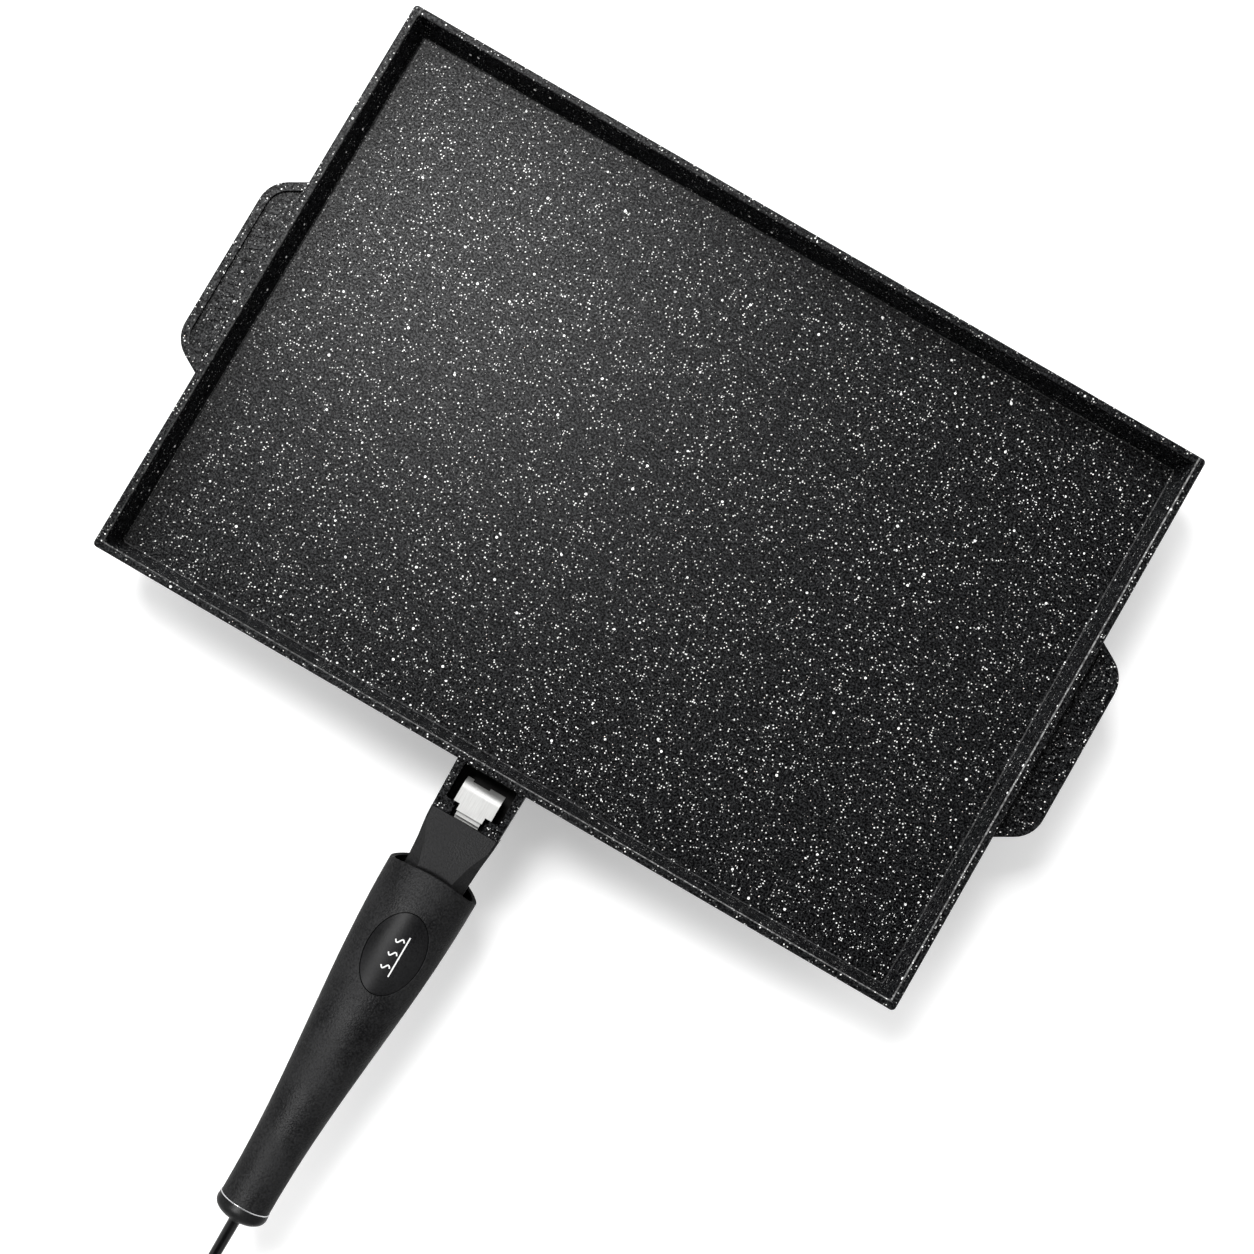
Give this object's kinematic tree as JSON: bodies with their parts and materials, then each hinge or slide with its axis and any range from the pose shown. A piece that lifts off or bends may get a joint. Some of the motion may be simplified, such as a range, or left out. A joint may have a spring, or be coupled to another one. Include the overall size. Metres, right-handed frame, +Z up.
{
  "type": "electric griddle",
  "caption": "Rectangular cast electric griddle on a heated base with feet and side lugs, and a lift-off control handle with lock collar, push button, mains cord and plug.",
  "frame": {"origin": "on the supporting surface, straight below the centre of the pan", "axes": "+Z up; X along the pan's long side, +X towards the right lug as seen by a cook who holds the handle; the handle points along -Y"},
  "size_m": [0.442, 0.6528, 0.0531],
  "materials": {
    "pan": "die-cast aluminium with a black stone-look non-stick coating, white specks",
    "sheath": "oxidised steel sheath, matte",
    "ceramic": "ceramic, matte",
    "plate": "plain sheet steel",
    "fastener": "zinc plated",
    "base_paint": "heat-resistant black paint, fine texture",
    "foot_rubber": "silicone rubber, matte",
    "insulator": "phenolic moulding, matte",
    "contact_metal": "nickel-plated brass, polished",
    "hood_plastic": "heat-resistant moulding, matte",
    "lead": "glass-fibre braided sleeve",
    "frame_plastic": "glass-filled nylon, matte",
    "hook_steel": "stainless steel, brushed",
    "spring_steel": "spring wire, bright",
    "collar_plastic": "moulded, fine matte texture",
    "grip_plastic": "soft-touch black, fine texture",
    "button_plastic": "satin black with a white printed mark",
    "board": "glass-epoxy board, green lacquer",
    "component": "moulded component cases",
    "ring_chrome": "polished",
    "cap_plastic": "satin black",
    "relief_rubber": "moulded rubber, matte",
    "cord_sheath": "smooth flexible sheath, satin",
    "tie_paper": "thin tie band, matte",
    "plug_shell": "moulded plug, satin"
  },
  "bodies": {
    "griddle": {"griddle_pan": "pan", "heating_element": "sheath", "end_seals": "ceramic", "clamp_plate": "plate", "clamp_screws": "fastener", "thermal_cutout": "ceramic", "base_cover": "base_paint", "front_left_foot": "foot_rubber", "front_right_foot": "foot_rubber", "rear_left_foot": "foot_rubber", "rear_right_foot": "foot_rubber", "foot_screws": "fastener", "base_screws": "fastener", "terminal_block": "insulator", "contact_pin_left": "contact_metal", "contact_pin_right": "contact_metal", "terminal_hood": "hood_plastic", "hood_screws": "fastener", "supply_lead": "lead", "link_lead": "lead", "return_lead": "lead"},
    "control_handle": {"handle_chassis": "frame_plastic", "latch_hook": "hook_steel", "hook_rivets": "fastener", "contact_block": "insulator", "contact_sleeves": "contact_metal", "output_wires": "lead", "guide_rods": "hook_steel", "collar_spring_left": "spring_steel", "collar_spring_right": "spring_steel", "grip_sleeve": "grip_plastic", "button_spring": "spring_steel", "control_board": "board", "tact_switch": "component", "board_parts": "component", "supply_wires": "lead", "cord_clamp": "hood_plastic", "clamp_bar_screws": "fastener", "trim_ring": "ring_chrome", "end_cap": "cap_plastic", "strain_relief": "relief_rubber", "mains_cord": "cord_sheath", "cord_coil": "cord_sheath", "cord_tie": "tie_paper", "plug_body": "plug_shell", "plug_pins": "contact_metal"},
    "collar": {"lock_collar": "collar_plastic"},
    "button": {"power_button": "button_plastic"}
  },
  "joints": [
    {"name": "handle_lift", "type": "slide", "parent": "griddle", "child": "control_handle", "axis": [0, 0, 1], "range_m": [0, 0.045]},
    {"name": "collar_slide", "type": "slide", "parent": "control_handle", "child": "collar", "axis": [0, -1, 0], "range_m": [0, 0.008], "stiffness_N_per_m": 300, "springref_m": -0.004, "deforming": ["collar_spring_left", "collar_spring_right"]},
    {"name": "button_press", "type": "slide", "parent": "control_handle", "child": "button", "axis": [0, 0, -1], "range_m": [0, 0.0015], "stiffness_N_per_m": 800, "springref_m": -0.0015, "deforming": ["button_spring"]}
  ]
}
